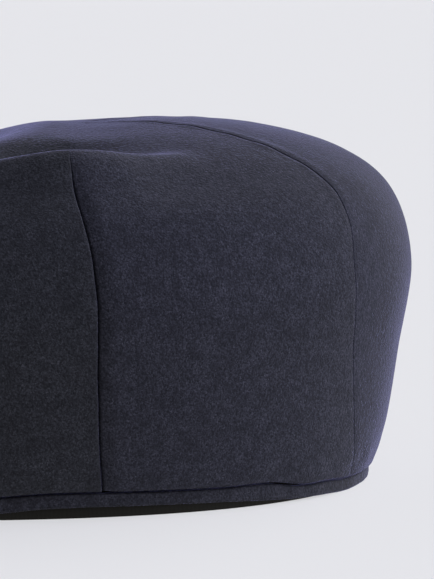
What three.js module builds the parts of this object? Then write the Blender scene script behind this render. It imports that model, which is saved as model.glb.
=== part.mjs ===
// A flat cap with an eight-panel crown, resting on a table.
// Millimetres, +Z up. The peak points along -Y and the wearer's left side is +X.
// The table is z = 0 and the origin is under the middle of the cap's box.
//
// Angles run round the head: 0 at the middle of the back, 90 at the wearer's left ear,
// 180 at the middle of the front. The right side mirrors the left.

import * as THREE from 'three';
import { mergeVertices } from 'three/addons/utils/BufferGeometryUtils.js';

// ---------------------------------------------------------------- driving dimensions
const CLOTH = 1.8; // wall of the crown
const GAP = 0.5; // space kept between neighbouring pieces
const SHIFT = { x: 0, y: 23.7 }; // moves the head's middle back, so that the box is centred

// Reads rows of numbers into objects with named columns.
function table(columns, ...rows) {
  return rows.map((row) => Object.fromEntries(columns.map((column, i) => [column, row[i]])));
}

// The outer face of the hem band, an oval round the head.
const HEAD = { centre: -5, halfWidth: 88, rear: 105.5, front: -101.5, square: 2.2 };

// Rings of the crown's outer face, from the point where the panels meet down to the foot.
// square is the power of the oval: 2 is an ellipse, more is squarer. zQuarter bends the
// height of the ring between the ear and the front.
const RINGS = table(
  ['centre', 'halfWidth', 'rear', 'front', 'zRear', 'zSide', 'zQuarter', 'zFront', 'square'],
  [25, 0, 25, 25, 90.6, 90.6, 90.6, 90.6, 2],
  [20, 26, 54.8, -6, 91.6, 88.8, 84.8, 81.3, 2],
  [10, 52, 78.2, -46, 89.8, 84.8, 79.4, 75.8, 2.05],
  [0, 76, 99.2, -86, 83.4, 77, 73, 66, 2.1],
  [-5, 92, 111.7, -120, 73, 70, 60, 53.5, 2.15],
  [-5, 98, 116.4, -140, 55.2, 51, 41, 40, 2.2],
  [-5, 95.5, 112.8, -147, 32.4, 30, 22, 28, 2.2],
  [-5, 91.6, 109.8, -142, 15, 14, 7, 20.4, 2.2],
  [-5, 89, 106.6, -103, 4.3, 6, 5, 23, 2.2],
);

// Angle of each seam of the left half at nine steps from the top (0) to the foot (1).
const SEAMS = table(
  ['down', 'back', 'ear', 'temple', 'brow'],
  [0, 20, 69, 112, 157],
  [0.2, 22.4, 69, 113, 157],
  [0.4, 22.9, 66.6, 113, 157],
  [0.52, 24.8, 65.3, 113, 157],
  [0.6, 26.8, 65.2, 113, 157],
  [0.68, 26.3, 65.1, 113, 157],
  [0.78, 23.6, 64.3, 112.5, 156.5],
  [0.9, 20.3, 63.1, 112, 156],
  [1, 18.3, 62.4, 111, 155],
);

// Relief beside a seam: the edges of both panels are drawn in.
const SEAM_RELIEF = { depth: 0.7, reach: 4 };

// Folds of the top, each a line of plan points with the height of its crest, front to back.
// A negative height is a sag.
const FOLDS = [
  {
    side: 1,
    points: [
      [78, -40, 4], [73, -16, 4.8], [69, 8, 5.6], [67, 26, 8], [64, 37, 7],
      [57.5, 46, 3.8], [52, 53, 1.7], [47, 61, 0],
    ],
  },
  { side: -1, points: [[76, -30, 1], [70, 0, 0.8], [66, 24, 1.6], [60, 50, 1.2]], narrowest: 1 },
  { side: -1, points: [[48, -70, -1.4], [48, 33, -1.4]], reachOut: 24, reachIn: 22, hollow: 0, narrowest: 1 },
];

// What a fold has unless it says otherwise: its reach outwards and inwards, the hollow inside it
// as a share of its height, the share of its width that it keeps where its height dies away, the
// length over which each end fades and the lowest place it reaches.
const FOLD_SHAPE = {
  reachOut: 13,
  reachIn: 8,
  hollow: 0.55,
  hollowAt: 22.5,
  hollowReach: 9,
  narrowest: 0.4,
  fullHeight: 6,
  fade: 14,
  lowest: 60,
};

// Height of the hem band's lower edge over the table at angles round the head.
const HEM_LIFT = [
  { angle: 0, lift: 0.3 },
  { angle: 18, lift: 0 },
  { angle: 30, lift: 0.8 },
  { angle: 44, lift: 2.2 },
  { angle: 58, lift: 2.8 },
  { angle: 70, lift: 2.8 },
  { angle: 78, lift: 1.9 },
  { angle: 90, lift: 1.2 },
  { angle: 104, lift: 1.2 },
];
const HEM = { height: 3.4, thickness: 2.4, bulge: 0.4 };

// Angles between which the crown's foot climbs from the hem band on to the peak.
const CLIMB = { from: 98, to: 108 };

// The sweatband shows a little under the peak, which it rises to between two angles.
const SWEATBAND = { height: 26, thickness: 1.2, showBelow: 1, riseFrom: 104, riseTo: 116 };

// The peak: a board bowed across and sloping down to the front.
const PEAK = {
  corner: 103, // angle of its ends round the head
  front: -163,
  thickness: 3.5,
  edgeThickness: 1.9,
  rise: 30.85, // height of its middle line carried back to y = 0
  slope: 0.1,
  bow: 148, // radius across
  crowding: 0.85, // under 1, its rows lie closer together near the rounded outer edge
  roundedFrom: 0.8, // share of its reach from which it thins to the edge
};

const COLOURS = { cloth: 0x23263a, band: 0x121214 };

// ---------------------------------------------------------------- small helpers
const radians = (degrees) => (degrees * Math.PI) / 180;
const mix = (from, to, share) => from + (to - from) * share;

function smoothStep(from, to, value) {
  const share = Math.min(1, Math.max(0, (value - from) / (to - from)));
  return share * share * (3 - 2 * share);
}

// A bell-shaped share: 1 at zero and falling away over the reach.
const bell = (value, reach) => Math.exp(-((value / reach) ** 2));

// Reads one column of a table by a smooth curve through its rows.
function along(rows, key, column, value) {
  let row = 0;
  while (row < rows.length - 2 && value > rows[row + 1][key]) row += 1;
  const share = (value - rows[row][key]) / (rows[row + 1][key] - rows[row][key]);
  const before = rows[Math.max(0, row - 1)];
  const after = rows[Math.min(rows.length - 1, row + 2)];
  const slopeAt = (low, high) => (high[column] - low[column]) / (high[key] - low[key]);
  const step = rows[row + 1][key] - rows[row][key];
  const start = slopeAt(before, rows[row + 1]) * step;
  const end = slopeAt(rows[row], after) * step;
  const [a, b] = [rows[row][column], rows[row + 1][column]];
  const [s2, s3] = [share * share, share * share * share];
  return a * (2 * s3 - 3 * s2 + 1) + start * (s3 - 2 * s2 + share) + b * (3 * s2 - 2 * s3) + end * (s3 - s2);
}

// A point on an oval round the head, given the angle from the back.
function ovalPoint(oval, angle) {
  const [back, side] = [Math.cos(angle), Math.sin(angle)];
  const length = back >= 0 ? oval.rear - oval.centre : oval.centre - oval.front;
  const power = oval.square;
  const term = (Math.abs(back) / length) ** power + (Math.abs(side) / oval.halfWidth) ** power;
  const reach = term ** (-1 / power);
  return { x: reach * side, y: oval.centre + reach * back };
}

// The head oval moved outwards (or inwards, when negative) by a distance.
function headPoint(angle, outset) {
  const oval = {
    ...HEAD,
    halfWidth: HEAD.halfWidth + outset,
    rear: HEAD.rear + outset,
    front: HEAD.front - outset,
  };
  return ovalPoint(oval, angle);
}

// Height of the peak's middle surface over a plan point.
const peakMiddle = (x, y) => PEAK.rise + PEAK.slope * y - (x * x) / (2 * PEAK.bow);

// An angle's distance from the middle of the back, left and right alike.
function foldedAngle(angle) {
  return Math.abs(THREE.MathUtils.euclideanModulo(angle + Math.PI, 2 * Math.PI) - Math.PI);
}

// Height of the hem's lower edge over the table, left and right alike.
function hemLift(angle) {
  const degrees = Math.min(foldedAngle(angle) / radians(1), HEM_LIFT.at(-1).angle);
  return Math.max(0, along(HEM_LIFT, 'angle', 'lift', degrees));
}

// ---------------------------------------------------------------- the crown's surface
// One ring between the rows of RINGS, by a Catmull-Rom curve down each column.
function ringAt(down) {
  const last = RINGS.length - 1;
  const place = Math.min(Math.max(down, 0), 1) * last;
  const row = Math.min(Math.floor(place), last - 1);
  const share = place - row;
  const [top, second] = RINGS;
  const above = row > 0 ? RINGS[row - 1] : {
    ...second,
    halfWidth: -second.halfWidth,
    rear: 2 * top.rear - second.rear,
    front: 2 * top.front - second.front,
  };
  const [from, to] = [RINGS[row], RINGS[row + 1]];
  const ring = {};
  for (const column of Object.keys(from)) {
    const beyond = row + 2 <= last ? RINGS[row + 2][column] : 2 * to[column] - from[column];
    const linear = to[column] - above[column];
    const squared = 2 * above[column] - 5 * from[column] + 4 * to[column] - beyond;
    const cubed = 3 * from[column] - above[column] - 3 * to[column] + beyond;
    ring[column] = from[column] + 0.5 * (linear * share + squared * share ** 2 + cubed * share ** 3);
  }
  return ring;
}

// Height of the crown's foot: above the hem band at the back and sides, above the peak in front.
function footHeight(angle) {
  const { x, y } = ovalPoint(RINGS.at(-1), angle);
  const overBand = hemLift(angle) + HEM.height + GAP;
  const overPeak = peakMiddle(x, y) + PEAK.thickness / 2 + GAP;
  return mix(overBand, overPeak, smoothStep(radians(CLIMB.from), radians(CLIMB.to), foldedAngle(angle)));
}

// Height of a ring at an angle, from its four heights.
function ringHeight(ring, angle) {
  const share = Math.cos(angle) ** 2;
  if (Math.cos(angle) >= 0) return mix(ring.zSide, ring.zRear, share);
  return ring.zSide * (1 - share) ** 2 + 2 * ring.zQuarter * share * (1 - share) + ring.zFront * share ** 2;
}

// A point of the crown's plain outer face.
function crownPoint(angle, down) {
  const ring = ringAt(down);
  if (ring.halfWidth < 1e-6) return new THREE.Vector3(0, ring.centre, ring.zRear);
  const { x, y } = ovalPoint(ring, angle);
  const z = ringHeight(ring, angle);
  const nearFoot = smoothStep(0.8, 1, down);
  const foot = RINGS.at(-1);
  return new THREE.Vector3(x, y, z + nearFoot * (footHeight(angle) - ringHeight(foot, angle)));
}

// The crown as a disc: across runs to the left, back to the rear, and the foot has radius 1.
const discPoint = (across, back) => crownPoint(Math.atan2(across, back), Math.hypot(across, back));

function crownNormal(angle, down) {
  const step = 2e-3;
  const radius = Math.min(Math.max(down, step), 1 - step);
  const [across, back] = [radius * Math.sin(angle), radius * Math.cos(angle)];
  const toLeft = discPoint(across + step, back).sub(discPoint(across - step, back));
  const toBack = discPoint(across, back + step).sub(discPoint(across, back - step));
  return toLeft.cross(toBack).normalize();
}

const SEAM_NAMES = ['back', 'ear', 'temple', 'brow'];
const seamAngle = (name, down) => radians(along(SEAMS, 'down', name, down));

// How far the cloth is drawn in beside the nearest seam.
function seamRelief(angle, down, reach) {
  const turned = foldedAngle(angle);
  const nearest = Math.min(...SEAM_NAMES.map((name) => Math.abs(turned - seamAngle(name, down))));
  return -SEAM_RELIEF.depth * bell(nearest * reach, SEAM_RELIEF.reach);
}

// Where a plan point lies beside a fold: its signed distance (positive outwards), the crest's
// height there and the fold's fade towards its ends.
function besideFold(fold, x, y) {
  let best = { distance: Infinity, signed: 0, run: 0, height: 0 };
  let run = 0;
  for (let i = 1; i < fold.points.length; i += 1) {
    const [[x0, y0, height0], [x1, y1, height1]] = [fold.points[i - 1], fold.points[i]];
    const [dx, dy] = [x1 - x0, y1 - y0];
    const length = Math.hypot(dx, dy);
    const share = Math.min(1, Math.max(0, ((x - x0) * dx + (y - y0) * dy) / length ** 2));
    const [px, py] = [x - x0 - dx * share, y - y0 - dy * share];
    const distance = Math.hypot(px, py);
    if (distance < best.distance) {
      const signed = Math.sign(px * dy - py * dx) * distance;
      const height = mix(height0, height1, smoothStep(0, 1, share));
      best = { distance, signed, run: run + share * length, height };
    }
    run += length;
  }
  const fade = smoothStep(0, fold.fade, best.run) * smoothStep(0, fold.fade, run - best.run);
  return { ...best, fade };
}

function foldRelief(point) {
  let relief = 0;
  for (const fold of FOLDS.map((own) => ({ ...FOLD_SHAPE, ...own }))) {
    if (fold.side * point.x > 0 && point.z > fold.lowest) {
      const { signed, height, fade } = besideFold(fold, Math.abs(point.x), point.y);
      const width = mix(fold.narrowest, 1, smoothStep(0, fold.fullHeight, Math.abs(height)));
      const away = signed / width;
      const crest = bell(away, away > 0 ? fold.reachOut : fold.reachIn);
      const hollow = fold.hollow * bell(away + fold.hollowAt, fold.hollowReach);
      relief += fade * height * (crest - hollow);
    }
  }
  return relief;
}

// A point of the crown's cloth, depth millimetres under its outer face.
function clothPoint(angle, down, depth) {
  const point = crownPoint(angle, down);
  const reach = Math.hypot(point.x, point.y - ringAt(down).centre);
  const lift = seamRelief(angle, down, reach) + foldRelief(point) - depth;
  return point.addScaledVector(crownNormal(angle, down), lift);
}

// ---------------------------------------------------------------- meshes
// Makes a mesh from a three.js geometry whose every vertex goes through a mapping.
function mappedMesh(name, geometry, place, colour, roughness) {
  const source = geometry.attributes.position;
  const point = new THREE.Vector3();
  for (let i = 0; i < source.count; i += 1) {
    point.fromBufferAttribute(source, i);
    const placed = place(point);
    source.setXYZ(i, placed.x, placed.y, placed.z);
  }
  geometry.deleteAttribute('normal');
  geometry.deleteAttribute('uv');
  const merged = mergeVertices(geometry, 1e-4);
  merged.computeVertexNormals();
  const finish = new THREE.MeshStandardMaterial({ color: colour, roughness, metalness: 0 });
  const mesh = new THREE.Mesh(merged, finish);
  mesh.name = name;
  return mesh;
}

// A slab of cloth: a unit box whose width, height and depth run 0 to 1 through the mapping.
function slab(name, columns, rows, place, colour = COLOURS.cloth) {
  const box = new THREE.BoxGeometry(1, 1, 1, columns, rows, 1);
  return mappedMesh(name, box, (p) => place(p.x + 0.5, p.y + 0.5, 0.5 - p.z), colour, 0.95);
}

const TIP = 0.005; // the panels stop just short of the point where they meet
const FOOT_CROWDING = 1.3; // above 1, the rows of a panel lie closer together near its foot

// Angle between a seam and the panel's edge, which leaves half the gap square to the seam.
function seamMargin(seam, down) {
  const step = 4e-3;
  const [above, below] = [Math.max(down - step, 0), Math.min(down + step, 1)];
  const run = crownPoint(seam(below), below).sub(crownPoint(seam(above), above)).normalize();
  const turn = crownPoint(seam(down) + step, down).sub(crownPoint(seam(down) - step, down));
  const speed = turn.cross(run).length() / (2 * step);
  return Math.min(GAP / 2 / speed, radians(14));
}

// One panel between two seams, each given as an angle that changes down the crown.
function crownPanel(name, fromSeam, toSeam) {
  return slab(name, 9, 22, (across, downShare, depth) => {
    const down = mix(1, TIP, (1 - downShare) ** FOOT_CROWDING);
    const start = fromSeam(down) + seamMargin(fromSeam, down);
    const end = toSeam(down) - seamMargin(toSeam, down);
    return clothPoint(mix(start, end, across), down, depth * CLOTH);
  });
}

const leftSeam = (name) => (down) => seamAngle(name, down);
const rightSeam = (name) => (down) => -seamAngle(name, down);
const wrapped = (seam) => (down) => seam(down) + 2 * Math.PI;

function crownPanels() {
  const panels = [
    crownPanel('panel_back', rightSeam('back'), leftSeam('back')),
    crownPanel('panel_front', leftSeam('brow'), wrapped(rightSeam('brow'))),
  ];
  const sides = [['back', 'ear', 'rear'], ['ear', 'temple', 'side'], ['temple', 'brow', 'front']];
  for (const [first, second, place] of sides) {
    panels.push(crownPanel(`panel_${place}_left`, leftSeam(first), leftSeam(second)));
    panels.push(crownPanel(`panel_${place}_right`, rightSeam(second), rightSeam(first)));
  }
  return panels;
}

// The turned hem under the crown, from one end of the peak round the back to the other.
function hemBand() {
  const end = radians(PEAK.corner) - GAP / HEAD.halfWidth;
  return slab('hem_band', 64, 4, (around, heightShare, depth) => {
    const angle = mix(end, -end, around);
    const bulge = HEM.bulge * (1 - (2 * heightShare - 1) ** 2);
    const outset = depth < 0.5 ? bulge - HEM.bulge : -HEM.thickness;
    const { x, y } = headPoint(angle, outset);
    return new THREE.Vector3(x, y, hemLift(angle) + HEM.height * heightShare);
  });
}

// Lower edge of the sweatband: on the table beside the head, behind the peak in front.
function sweatbandFoot(angle) {
  const { x, y } = headPoint(angle, -HEM.thickness);
  const behindPeak = peakMiddle(x, y) - PEAK.thickness / 2 - SWEATBAND.showBelow;
  const rise = smoothStep(radians(SWEATBAND.riseFrom), radians(SWEATBAND.riseTo), foldedAngle(angle));
  return Math.max(0, behindPeak * rise);
}

// The sweatband: a ring whose section is a thin upright strip, turned round the head oval.
function sweatband() {
  const outer = -HEM.thickness - GAP;
  const inner = outer - SWEATBAND.thickness;
  const turn = HEAD.halfWidth; // radius that the strip is turned at before it is mapped
  const strip = [[inner, 0], [inner, 0.5], [inner, 1], [outer, 1], [outer, 0.5], [outer, 0], [inner, 0]];
  const section = strip.map(([outset, heightShare]) => new THREE.Vector2(turn + outset, heightShare));
  const ring = new THREE.LatheGeometry(section, 72);
  const place = (p) => {
    const angle = Math.atan2(p.x, p.z);
    const { x, y } = headPoint(angle, Math.hypot(p.x, p.z) - turn);
    return new THREE.Vector3(x, y, sweatbandFoot(angle) + SWEATBAND.height * p.y);
  };
  return mappedMesh('sweatband', ring, place, COLOURS.band, 0.8);
}

// The peak: its inner edge follows the head and its outer edge is half an oval.
function peak() {
  const end = radians(PEAK.corner);
  const corner = headPoint(end, 0);
  return slab('peak', 36, 8, (around, outShare, depth) => {
    const angle = mix(end, 2 * Math.PI - end, around);
    const turn = Math.PI * around;
    const inner = headPoint(angle, -HEM.thickness);
    const outer = {
      x: corner.x * Math.cos(turn),
      y: corner.y + (PEAK.front - corner.y) * Math.sin(turn),
    };
    const share = outShare ** PEAK.crowding;
    const [x, y] = [mix(inner.x, outer.x, share), mix(inner.y, outer.y, share)];
    const edge = (PEAK.edgeThickness / PEAK.thickness) ** 2;
    const thinning = Math.sqrt(1 - smoothStep(PEAK.roundedFrom, 1, share) * (1 - edge));
    const half = (PEAK.thickness / 2) * thinning;
    return new THREE.Vector3(x, y, peakMiddle(x, y) + mix(half, -half, depth));
  });
}

// ---------------------------------------------------------------- the cap
const cap = new THREE.Group();
cap.add(...crownPanels(), hemBand(), sweatband(), peak());
cap.position.set(SHIFT.x, SHIFT.y, 0);

export default cap;
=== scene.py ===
"""A soft wool flat cap with an eight-panel crown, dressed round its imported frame.

The cap's sizes are in millimetres. Its places are measured from the middle of the head, with
height 0 under the cap, and `Place` turns them into metres in the frame. The finishes and the
studio are in metres. Angles run round the head: 0 at the middle of the back, 90 at the wearer's
left ear and 180 at the middle of the front. `down` runs from the point where the panels meet (0)
to the crown's foot (1).
"""

import logging
import math
from dataclasses import dataclass, replace
from enum import Enum

import bmesh
import bpy
import numpy as np
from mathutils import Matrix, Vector, noise


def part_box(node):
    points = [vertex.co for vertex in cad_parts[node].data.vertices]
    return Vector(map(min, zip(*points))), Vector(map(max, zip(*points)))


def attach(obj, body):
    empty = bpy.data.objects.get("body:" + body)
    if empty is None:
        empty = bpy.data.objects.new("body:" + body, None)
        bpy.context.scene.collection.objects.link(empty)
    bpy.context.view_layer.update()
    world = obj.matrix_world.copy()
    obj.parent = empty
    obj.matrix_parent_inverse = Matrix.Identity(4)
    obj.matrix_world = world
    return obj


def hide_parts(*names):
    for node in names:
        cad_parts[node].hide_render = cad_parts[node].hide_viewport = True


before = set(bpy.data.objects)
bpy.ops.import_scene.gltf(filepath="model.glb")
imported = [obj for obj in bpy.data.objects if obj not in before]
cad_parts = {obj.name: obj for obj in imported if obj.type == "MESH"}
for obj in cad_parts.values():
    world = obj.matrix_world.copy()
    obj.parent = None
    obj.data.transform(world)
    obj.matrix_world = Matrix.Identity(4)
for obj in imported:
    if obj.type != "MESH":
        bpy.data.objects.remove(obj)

LOG = logging.getLogger("flat_cap")
MM = 0.001
HAIR = 1e-6  # two places nearer than this are the same
ROOT = "root"


class Slot(Enum):
    """The record's material slots."""

    CLOTH = "wool_cloth"
    TAPE = "band_tape"


# ---------------------------------------------------------------- small helpers
def smooth_step(start: float, end: float, value: np.ndarray) -> np.ndarray:
    """Eases from 0 at start to 1 at end.

    Args:
        start: Value at which the step begins.
        end: Value at which it is complete.
        value: Where to read it.

    Returns:
        The share of the step, one for each value.
    """
    share = np.clip((np.asarray(value, float) - start) / (end - start), 0.0, 1.0)
    return share * share * (3.0 - 2.0 * share)


def mix(start: np.ndarray, end: np.ndarray, share: np.ndarray) -> np.ndarray:
    """Blends two values by a share."""
    return start + (end - start) * share


def folded(angle: np.ndarray) -> np.ndarray:
    """An angle's distance from the middle of the back, left and right alike."""
    return np.abs(np.mod(angle + math.pi, 2.0 * math.pi) - math.pi)


def bell(value: np.ndarray, reach: float) -> np.ndarray:
    """A rounded bump that is 1 at 0 and fades over a reach."""
    return np.exp(-((np.asarray(value, float) / reach) ** 2))


def running_length(points: np.ndarray, axis: int) -> np.ndarray:
    """Length along rows of points, from 0 at the first.

    Args:
        points: Array whose last axis is x, y or x, y, z.
        axis: The axis that the rows run along.

    Returns:
        The length at each point.
    """
    steps = np.linalg.norm(np.diff(points, axis=axis), axis=-1)
    length = np.cumsum(steps, axis=axis)
    start = np.zeros_like(np.take(length, [0], axis=axis))
    return np.concatenate([start, length], axis=axis)


def wander(points: np.ndarray, size: float, seed: float) -> np.ndarray:
    """Smooth irregular variation from about -1 to 1.

    Args:
        points: Places, x, y and z along the last axis.
        size: Width of its bumps.
        seed: Moves the pattern, so that two uses differ.

    Returns:
        One value for each place.
    """
    offset = Vector((seed, 1.7 * seed, -2.3 * seed))
    values = [noise.noise(Vector(p) / size + offset) for p in points.reshape(-1, 3)]
    return np.array(values).reshape(points.shape[:-1])


@dataclass(frozen=True)
class Unevenness:
    """The small irregular lift that keeps soft cloth from looking machined."""

    height: float
    size: float  # width of its bumps
    seed: float

    def at(self, points: np.ndarray) -> np.ndarray:
        """The lift at each place."""
        return self.height * wander(points, self.size, self.seed)


@dataclass(frozen=True)
class Table:
    """Rows of numbers with named columns."""

    columns: tuple[str, ...]
    rows: tuple[tuple[float, ...], ...]

    def column(self, name: str) -> np.ndarray:
        """All values of one column."""
        return np.array([row[self.columns.index(name)] for row in self.rows], float)

    def last(self) -> dict[str, float]:
        """The last row by name."""
        return dict(zip(self.columns, self.rows[-1]))

    def along(self, name: str, at: np.ndarray) -> np.ndarray:
        """Reads a column by a smooth curve over the first column.

        Args:
            name: The column to read.
            at: Values of the first column.

        Returns:
            One value for each place.
        """
        keys = self.column(self.columns[0])
        values = self.column(name)
        at = np.clip(np.asarray(at, float), keys[0], keys[-1])
        row = np.clip(np.searchsorted(keys, at, side="left") - 1, 0, len(keys) - 2)
        before = np.maximum(row - 1, 0)
        after = np.minimum(row + 2, len(keys) - 1)
        step = keys[row + 1] - keys[row]
        share = (at - keys[row]) / step
        rise = (values[row + 1] - values[before]) / (keys[row + 1] - keys[before]) * step
        fall = (values[after] - values[row]) / (keys[after] - keys[row]) * step
        s2, s3 = share**2, share**3
        ends = values[row] * (2 * s3 - 3 * s2 + 1) + values[row + 1] * (3 * s2 - 2 * s3)
        return ends + rise * (s3 - 2 * s2 + share) + fall * (s3 - s2)


@dataclass(frozen=True)
class Oval:
    """A squared oval seen from above; square 2 is an ellipse and more is squarer."""

    centre: float
    half_width: float
    rear: float
    front: float
    square: float

    def point(self, angle: np.ndarray, outset: float = 0.0) -> np.ndarray:
        """Points of the oval moved outwards.

        Args:
            angle: Angles from the back.
            outset: How far outside the oval, or inside when negative.

        Returns:
            x and y for each angle.
        """
        back, side = np.cos(angle), np.sin(angle)
        rear = self.rear + outset - self.centre
        front = self.centre - self.front + outset
        length = np.maximum(np.where(back >= 0.0, rear, front), 1e-9)
        width = np.maximum(self.half_width + outset, 1e-9)
        term = (np.abs(back) / length) ** self.square + (np.abs(side) / width) ** self.square
        reach = term ** (-1.0 / self.square)
        return np.stack([reach * side, self.centre + reach * back], axis=-1)


# ---------------------------------------------------------------- sizes of the cap
CLOTH = 1.8  # wall of the crown
HEM_THICKNESS = 2.4  # the peak reaches in past the head's oval as far as the hem does
HEAD = Oval(centre=-5.0, half_width=88.0, rear=105.5, front=-101.5, square=2.2)
HEAD_RADIUS = 95.0  # the head's mean radius, which turns angles into lengths along the tape

RINGS = Table(
    ("centre", "half_width", "rear", "front", "z_rear", "z_side", "z_quarter", "z_front", "square"),
    (
        (25, 0, 25, 25, 90.6, 90.6, 90.6, 90.6, 2),
        (20, 26, 54.8, -6, 91.6, 88.8, 84.8, 81.3, 2),
        (10, 52, 78.2, -46, 89.8, 84.8, 79.4, 75.8, 2.05),
        (0, 76, 99.2, -86, 83.4, 77.0, 73, 66, 2.1),
        (-5, 92, 111.7, -120, 73, 70, 60, 53.5, 2.15),
        (-5, 98, 116.4, -140, 55.2, 51, 41, 40, 2.2),
        (-5, 95.5, 112.8, -147, 32.4, 30, 22, 28, 2.2),
        (-5, 91.6, 109.8, -142, 15, 14, 7, 20.4, 2.2),
        (-5, 89, 106.6, -103, 4.3, 6, 5, 23, 2.2),
    ),
)

SEAMS = Table(
    ("down", "back", "ear", "temple", "brow"),
    (
        (0, 20, 69, 112, 157),
        (0.2, 22.4, 69, 113, 157),
        (0.4, 22.9, 66.6, 113, 157),
        (0.52, 24.8, 65.3, 113, 157),
        (0.6, 26.8, 65.2, 113, 157),
        (0.68, 26.3, 65.1, 113, 157),
        (0.78, 23.6, 64.3, 112.5, 156.5),
        (0.9, 20.3, 63.1, 112, 156),
        (1, 18.3, 62.4, 111, 155),
    ),
)

# Lift of the hem band's lower edge over the table, and the band's own height.
HEM_EDGE = Table(
    ("angle", "lift", "height"),
    (
        (0, 0.3, 3.2),
        (18, 0, 3.1),
        (24, 0.4, 3.3),
        (30, 0.8, 3.1),
        (36, 1.4, 4.1),
        (44, 2.2, 3.4),
        (58, 2.8, 3.3),
        (70, 2.8, 3.5),
        (78, 1.9, 3.7),
        (90, 1.2, 3.2),
        (104, 1.2, 3.9),
    ),
)


@dataclass(frozen=True)
class Place:
    """Turns head-centred millimetres into metres in the frame."""

    back: float  # how far behind the frame's middle the head's middle lies, in metres

    @classmethod
    def from_frame(cls) -> "Place":
        """Reads the head's place from the sweatband, which fits round it.

        Returns:
            The place of this frame's cap.
        """
        low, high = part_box("sweatband")
        middle = (low.y + high.y) / 2.0
        return cls(back=middle - (HEAD.rear + HEAD.front) / 2.0 * MM)

    def metres(self, points: np.ndarray) -> np.ndarray:
        """Points in the frame, in metres."""
        return points * MM + np.array([0.0, self.back, 0.0])


@dataclass(frozen=True)
class PeakForm:
    """The peak's middle surface: bowed across and sloping down to the front."""

    corner: float = math.radians(103)
    front: float = -163.0
    thickness: float = 3.5
    rise: float = 30.85
    slope: float = 0.1
    bow: float = 148.0

    def middle(self, x: np.ndarray, y: np.ndarray) -> np.ndarray:
        """Height of the middle surface over a plan point."""
        return self.rise + self.slope * y - x**2 / (2.0 * self.bow)


@dataclass(frozen=True)
class Fold:
    """A soft fold: a crest along a line in plan, steeper inwards, with a hollow inside it."""

    side: int
    points: tuple[tuple[float, float, float], ...]  # x, y and the crest's height, front to back
    reach_out: float = 13.0
    reach_in: float = 8.0
    hollow: float = 0.48  # depth of the hollow as a share of the crest's height
    hollow_at: float = 22.5
    hollow_reach: float = 9.0
    narrowest: float = 0.5  # share of its width that a fold keeps where its height dies away
    full_height: float = 8.0  # from this height on it has its whole width
    fade: float = 14.0
    lowest: float = 60.0
    softness: float = 5.0  # the hollow is averaged over a ring of this radius
    samples: int = 8

    def line(self, steps: int = 6) -> np.ndarray:
        """The fold's line, rounded through its points.

        Args:
            steps: Short stretches between one point and the next.

        Returns:
            x, y and height of each corner, front to back.
        """
        rows = Table(("place", "x", "y", "height"), tuple((i, *p) for i, p in enumerate(self.points)))
        last = len(self.points) - 1
        places = np.linspace(0, last, steps * last + 1)
        return np.stack([rows.along(name, places) for name in rows.columns[1:]], axis=-1)

    def across(self, x: np.ndarray, y: np.ndarray) -> tuple[np.ndarray, np.ndarray]:
        """Where plan points lie beside the fold.

        Args:
            x: Distances from the middle of the head towards the fold's side.
            y: Distances from the middle of the head towards the back.

        Returns:
            Distance from the crest as a share of the fold's full width, negative inwards, and
            the crest's height there.
        """
        nearest = np.full(x.shape, np.inf)
        signed, run, height = (np.zeros_like(x) for _ in range(3))
        walked = 0.0
        line = self.line()
        for (x0, y0, h0), (x1, y1, h1) in zip(line[:-1], line[1:]):
            dx, dy = x1 - x0, y1 - y0
            length = math.hypot(dx, dy)
            share = np.clip(((x - x0) * dx + (y - y0) * dy) / length**2, 0.0, 1.0)
            px, py = x - x0 - dx * share, y - y0 - dy * share
            distance = np.hypot(px, py)
            closer = distance < nearest
            nearest = np.where(closer, distance, nearest)
            signed = np.where(closer, np.sign(px * dy - py * dx) * distance, signed)
            run = np.where(closer, walked + share * length, run)
            height = np.where(closer, mix(h0, h1, share), height)
            walked += length
        ends = smooth_step(0, self.fade, run) * smooth_step(0, self.fade, walked - run)
        width = mix(self.narrowest, 1.0, smooth_step(0, self.full_height, np.abs(height)))
        return signed / width, ends * height

    def hollow_depth(self, x: np.ndarray, y: np.ndarray) -> np.ndarray:
        """Depth of the hollow, averaged round each place so that it stays soft inside a bend.

        Args:
            x: Distances from the middle of the head towards the fold's side.
            y: Distances from the middle of the head towards the back.

        Returns:
            The depth at each place.
        """
        total = np.zeros_like(x)
        for turn in np.linspace(0.0, 2.0 * math.pi, self.samples, endpoint=False):
            to_x, to_y = self.softness * math.cos(turn), self.softness * math.sin(turn)
            signed, height = self.across(x + to_x, y + to_y)
            total = total + height * bell(signed + self.hollow_at, self.hollow_reach)
        return self.hollow * total / self.samples

    def relief(self, places: np.ndarray) -> np.ndarray:
        """How far the fold lifts the cloth.

        Args:
            places: Points of the crown's plain face.

        Returns:
            The lift at each point, negative in the hollow.
        """
        x, y = self.side * places[..., 0], places[..., 1]
        here = (x > 0) & (places[..., 2] > self.lowest)
        if not here.any():
            return np.zeros_like(x)
        signed, height = self.across(x, y)
        crest = np.where(signed > 0, bell(signed, self.reach_out), bell(signed, self.reach_in))
        lift = height * crest
        if self.hollow:
            lift = lift - self.hollow_depth(x, y)
        return np.where(here, lift, 0.0)


FOLDS = (
    Fold(
        side=1,
        points=(
            (78, -40, 4.0),
            (73, -16, 4.8),
            (69, 8, 5.9),
            (67, 26, 8.2),
            (63.5, 37, 7.0),
            (58, 46, 4.0),
            (52.5, 53.5, 1.8),
            (47, 61, 0.4),
            (42, 68, 0.0),
        ),
    ),
    Fold(
        side=-1,
        points=((76, -30, 1.0), (70, 0, 0.8), (66, 24, 1.6), (60, 50, 1.2)),
        narrowest=1.0,
    ),
    Fold(
        side=-1,
        points=((48, -70, -1.4), (48, 33, -1.4)),
        reach_out=24.0,
        reach_in=22.0,
        hollow=0.0,
        narrowest=1.0,
    ),
)


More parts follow.
